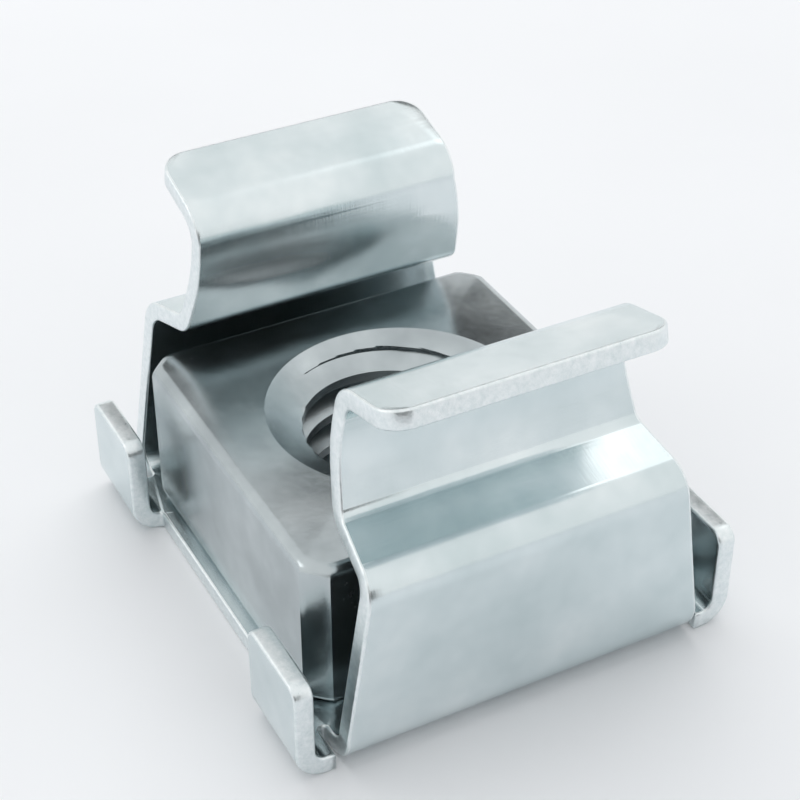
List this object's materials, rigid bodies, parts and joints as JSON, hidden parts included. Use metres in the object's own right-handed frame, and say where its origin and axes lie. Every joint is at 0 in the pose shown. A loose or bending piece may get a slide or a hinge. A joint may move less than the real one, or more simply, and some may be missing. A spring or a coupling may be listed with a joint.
{
  "type": "rack cage nut",
  "caption": "Square M6 nut held loosely in a folded spring-steel cage, whose two hooked wings snap into a square hole in a rack rail.",
  "frame": {"origin": "middle of the underside of the cage's base, on the axis of the thread", "axes": "+Z along the thread towards the hooks and the panel, +X from wing to wing, +Y along the open sides"},
  "size_m": [0.0132, 0.0122, 0.0098],
  "materials": {
    "zinc_spring_steel": "bright bluish-white zinc plating over spring-steel strip",
    "zinc_nut_steel": "bright bluish-white zinc plating over a turned and pressed nut"
  },
  "bodies": {
    "root": {"cage": "zinc_spring_steel", "square_nut": "zinc_nut_steel"}
  },
  "joints": []
}
